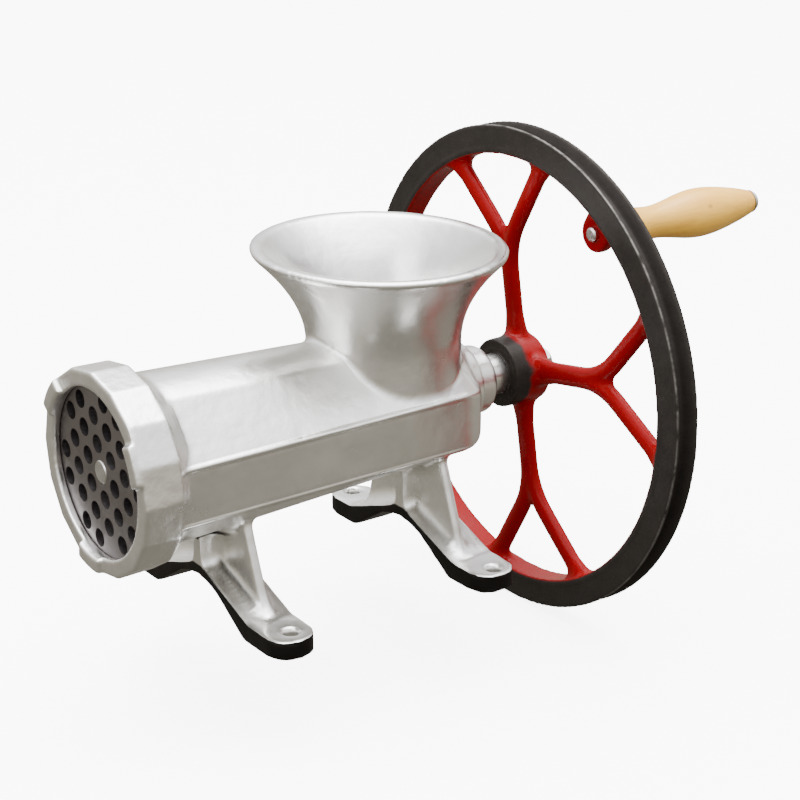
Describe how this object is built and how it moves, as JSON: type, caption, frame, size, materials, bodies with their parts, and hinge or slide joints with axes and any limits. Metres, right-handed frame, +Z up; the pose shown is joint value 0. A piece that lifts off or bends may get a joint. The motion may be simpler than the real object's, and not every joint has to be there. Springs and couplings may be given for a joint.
{
  "type": "meat grinder",
  "caption": "Hand-cranked meat grinder: tinned barrel with oval hopper, perforated plate in a ring nut, arched bolt-down legs and a grooved spoked flywheel with a wooden handle.",
  "frame": {"origin": "centre of the rectangle of four foot holes, in the plane of the feet's undersides", "axes": "+X along the shaft from the outlet towards the wheel, +Z up, +Y to the left seen from the outlet"},
  "size_m": [0.4084, 0.288, 0.288],
  "materials": {
    "tinned": "tin-plated, satin to bright",
    "plate_steel": "dark ground steel",
    "steel": "bright turned steel",
    "bronze": "turned bronze",
    "red_paint": "deep red gloss paint, with a bare dark rim",
    "wood": "pale varnished wood",
    "fibre": "brown vulcanised fibre"
  },
  "bodies": {
    "grinder": {"grinder_body": "tinned", "rear_bushing": "bronze", "plate_pin": "steel", "steel_thrust_washer": "steel"},
    "plate": {"cutting_plate": "plate_steel"},
    "ring": {"ring_nut": "tinned"},
    "rotor": {"feed_screw": "tinned", "plate_stud": "steel", "knife": "steel", "fibre_thrust_washer": "fibre", "flywheel": "red_paint", "wheel_washer": "steel", "wheel_spring_washer": "steel", "wheel_bolt": "steel", "handle_bolt": "steel", "handle_lock_nut": "steel", "grip_inner_washer": "steel", "grip_end_washer": "steel"},
    "grip": {"wooden_grip": "wood", "grip_sleeve": "steel"}
  },
  "joints": [
    {"name": "crank_turn", "type": "hinge", "parent": "grinder", "child": "rotor", "pos_m": [0, 0, 0.094], "axis": [1, 0, 0], "continuous": true},
    {"name": "plate_slide", "type": "slide", "parent": "grinder", "child": "plate", "axis": [-1, 0, 0], "range_m": [0, 0.0121]},
    {"name": "ring_nut_turn", "type": "hinge", "parent": "plate", "child": "ring", "pos_m": [-0.13, 0, 0.094], "axis": [-1, 0, 0], "range_deg": [0, 1080]},
    {"name": "grip_spin", "type": "hinge", "parent": "rotor", "child": "grip", "pos_m": [0.16, -0.05808, 0.18695], "axis": [1, 0, 0], "continuous": true}
  ],
  "couplings": [
    {"joint": "plate_slide", "follows": "ring_nut_turn", "m_per_rad": 0.00063662}
  ]
}
